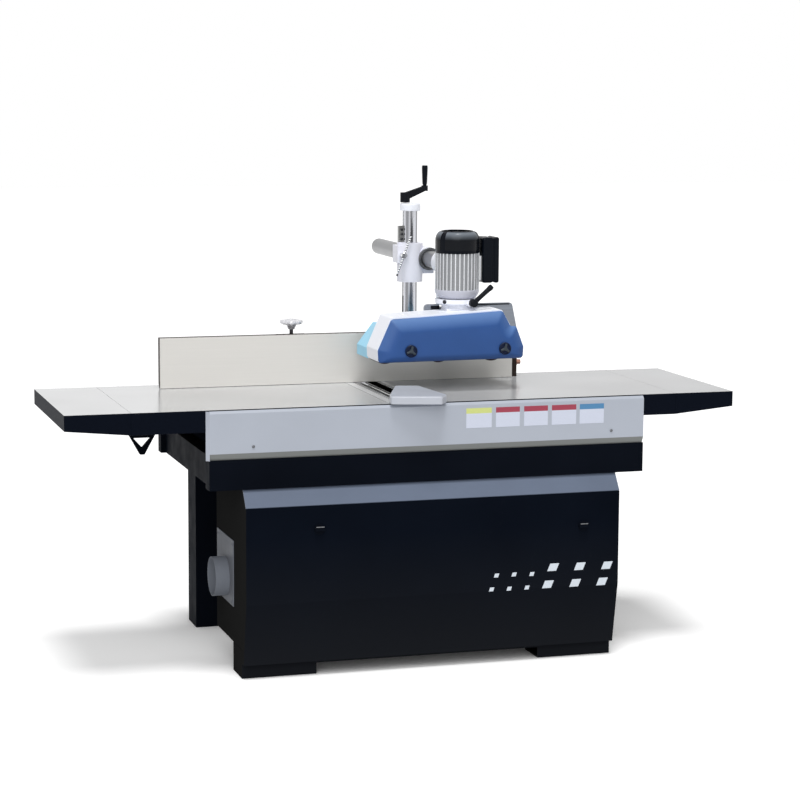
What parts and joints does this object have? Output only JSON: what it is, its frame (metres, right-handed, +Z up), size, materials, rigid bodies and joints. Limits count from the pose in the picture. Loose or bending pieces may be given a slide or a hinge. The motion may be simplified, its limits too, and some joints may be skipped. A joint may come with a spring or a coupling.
{
  "type": "surface planer with power feeder",
  "caption": "Cabinet-based surface planer with long ground tables, swing guard, sliding fence and a column-mounted roller feeder that drives boards over the knives",
  "frame": {"origin": "centre of the footprint box, on the floor", "axes": "+X along the tables from outfeed to infeed, +Y towards the back, +Z up"},
  "size_m": [2.178, 1.2826, 1.5595],
  "materials": {
    "cabinet_paint": "satin",
    "strip_paint": "satin",
    "apron_paint": "satin",
    "frame_paint": "satin",
    "table_iron": "ground",
    "lip_steel": "ground",
    "bed_iron": "painted",
    "steel": "turned",
    "chrome": "polished",
    "fence_face": "ground",
    "fence_paint": "satin",
    "guard_cast": "satin",
    "white_cast": "gloss",
    "blue_cover": "gloss",
    "pale_cover": "gloss",
    "black_plastic": "gloss",
    "silver_frame": "satin",
    "motor_alu": "cast",
    "roller_rubber": "matt",
    "belt_rubber": "matt",
    "dust_grey": "satin",
    "duct_zinc": "galvanised",
    "motor_paint": "satin",
    "box_grey": "matt",
    "start_green": "gloss",
    "stop_red": "gloss"
  },
  "bodies": {
    "base": {"plinth": "cabinet_paint", "cabinet_panels": "cabinet_paint", "front_panel": "cabinet_paint", "trim_strip": "strip_paint", "dust_spout": "dust_grey", "dust_chute": "duct_zinc", "rear_legs": "frame_paint", "base_frame": "frame_paint", "bed": "bed_iron", "apron": "apron_paint", "outfeed_table": "table_iron", "outfeed_extension": "table_iron", "outfeed_lip": "lip_steel", "table_bracket": "frame_paint", "cutter_bearings": "bed_iron", "drive_belts": "belt_rubber", "main_motor": "motor_paint", "motor_shelf": "frame_paint", "belt_guard": "frame_paint", "control_box": "box_grey", "fence_mounts": "frame_paint", "column_base": "white_cast", "column": "chrome", "column_cap": "white_cast"},
    "infeed": {"infeed_table": "table_iron", "infeed_extension": "table_iron", "infeed_lip": "lip_steel"},
    "lift": {"lift_shaft": "steel"},
    "cutter": {"cutterhead": "steel", "knives": "lip_steel"},
    "rotor": {"motor_pulley": "steel"},
    "latch_l": {"latch_left": "black_plastic"},
    "latch_r": {"latch_right": "black_plastic"},
    "start": {"start_button": "start_green"},
    "stop": {"stop_button": "stop_red"},
    "guard": {"guard": "guard_cast"},
    "fence": {"fence_plate": "fence_face", "fence_back": "fence_paint"},
    "fence_lock": {"fence_knob": "chrome"},
    "crosshead": {"crosshead": "white_cast"},
    "crank": {"lead_screw": "steel", "crank_arm": "black_plastic"},
    "grip": {"crank_grip": "black_plastic"},
    "clamp": {"column_clamp": "chrome"},
    "arm": {"overarm": "chrome"},
    "head": {"head_bracket": "white_cast", "tilt_frame": "silver_frame", "feeder_body": "white_cast", "front_cover": "blue_cover", "rear_cover": "pale_cover", "feeder_motor": "motor_alu", "fan_cover": "black_plastic", "switch_box": "black_plastic"},
    "knob_l": {"cover_knob_left": "black_plastic"},
    "knob_r": {"cover_knob_right": "black_plastic"},
    "roller_1": {"feed_roller_1": "roller_rubber"},
    "roller_2": {"feed_roller_2": "roller_rubber"},
    "roller_3": {"feed_roller_3": "roller_rubber"},
    "lever": {"tilt_lever": "black_plastic"}
  },
  "joints": [
    {"name": "infeed_lift", "type": "slide", "parent": "base", "child": "infeed", "axis": [0, 0, 1], "range_m": [-0.008, 0]},
    {"name": "lift_turn", "type": "hinge", "parent": "base", "child": "lift", "pos_m": [0.5, -0.2467, 0.735], "axis": [0, 1, 0], "range_deg": [0, 60]},
    {"name": "cutter_spin", "type": "hinge", "parent": "base", "child": "cutter", "pos_m": [-0.008, -0.2767, 0.788], "axis": [0, 1, 0], "continuous": true},
    {"name": "motor_spin", "type": "hinge", "parent": "base", "child": "rotor", "pos_m": [-0.008, 0.0633, 0.3], "axis": [0, 1, 0], "continuous": true},
    {"name": "latch_left_turn", "type": "hinge", "parent": "base", "child": "latch_l", "pos_m": [-0.311, -0.6147, 0.473], "axis": [0, 1, 0], "range_deg": [0, 90]},
    {"name": "latch_right_turn", "type": "hinge", "parent": "base", "child": "latch_r", "pos_m": [0.56, -0.6147, 0.439], "axis": [0, 1, 0], "range_deg": [0, 90]},
    {"name": "start_press", "type": "slide", "parent": "base", "child": "start", "axis": [-1, 0, 0], "range_m": [0, 0.004], "stiffness_N_per_m": 500},
    {"name": "stop_press", "type": "slide", "parent": "base", "child": "stop", "axis": [-1, 0, 0], "range_m": [0, 0.004], "stiffness_N_per_m": 500},
    {"name": "guard_swing", "type": "hinge", "parent": "base", "child": "guard", "pos_m": [-0.008, -0.5367, 0.86], "axis": [0, 0, 1], "range_deg": [0, 60], "stiffness_Nm_per_rad": 0.6},
    {"name": "fence_slide", "type": "slide", "parent": "base", "child": "fence", "axis": [0, 1, 0], "range_m": [-0.02, 0.045]},
    {"name": "fence_lock_turn", "type": "hinge", "parent": "fence", "child": "fence_lock", "pos_m": [-0.248, -0.0207, 1.02], "axis": [0, 0, 1], "range_deg": [-180, 180]},
    {"name": "head_height", "type": "slide", "parent": "base", "child": "crosshead", "axis": [0, 0, 1], "range_m": [-0.04, 0.045]},
    {"name": "crank_turn", "type": "hinge", "parent": "base", "child": "crank", "pos_m": [0.174, 0.0833, 1.3], "axis": [0, 0, 1], "range_deg": [-2900, 3260]},
    {"name": "grip_spin", "type": "hinge", "parent": "crank", "child": "grip", "pos_m": [0.243, 0.0833, 1.52], "axis": [0, 0, 1], "continuous": true},
    {"name": "clamp_turn", "type": "hinge", "parent": "crosshead", "child": "clamp", "pos_m": [0.154, 0.0633, 1.262], "axis": [0, 1, 0], "range_deg": [-45, 45]},
    {"name": "arm_slide", "type": "slide", "parent": "crosshead", "child": "arm", "axis": [0, 1, 0], "range_m": [-0.045, 0.01]},
    {"name": "head_tilt", "type": "hinge", "parent": "arm", "child": "head", "pos_m": [0.249, -0.1267, 1.247], "axis": [0, 1, 0], "range_deg": [-6, 6]},
    {"name": "cover_knob_left_turn", "type": "hinge", "parent": "head", "child": "knob_l", "pos_m": [0.053, -0.3867, 0.988], "axis": [0, 1, 0], "continuous": true},
    {"name": "cover_knob_right_turn", "type": "hinge", "parent": "head", "child": "knob_r", "pos_m": [0.37, -0.3867, 0.988], "axis": [0, 1, 0], "continuous": true},
    {"name": "roller_1_spin", "type": "hinge", "parent": "head", "child": "roller_1", "pos_m": [0.014, -0.1767, 0.976], "axis": [0, 1, 0], "continuous": true},
    {"name": "roller_2_spin", "type": "hinge", "parent": "head", "child": "roller_2", "pos_m": [0.197, -0.1767, 0.976], "axis": [0, 1, 0], "continuous": true},
    {"name": "roller_3_spin", "type": "hinge", "parent": "head", "child": "roller_3", "pos_m": [0.38, -0.1767, 0.976], "axis": [0, 1, 0], "continuous": true},
    {"name": "tilt_lever_turn", "type": "hinge", "parent": "head", "child": "lever", "pos_m": [0.279, -0.3337, 1.132], "axis": [0, 1, 0], "range_deg": [-45, 35]}
  ],
  "couplings": [
    {"joint": "lift_turn", "follows": "infeed_lift", "rad_per_m": -130.9},
    {"joint": "motor_spin", "follows": "cutter_spin", "ratio": 0.4965},
    {"joint": "crank_turn", "follows": "head_height", "rad_per_m": 1256.6},
    {"joint": "roller_2_spin", "follows": "roller_1_spin", "ratio": 1},
    {"joint": "roller_3_spin", "follows": "roller_1_spin", "ratio": 1}
  ]
}
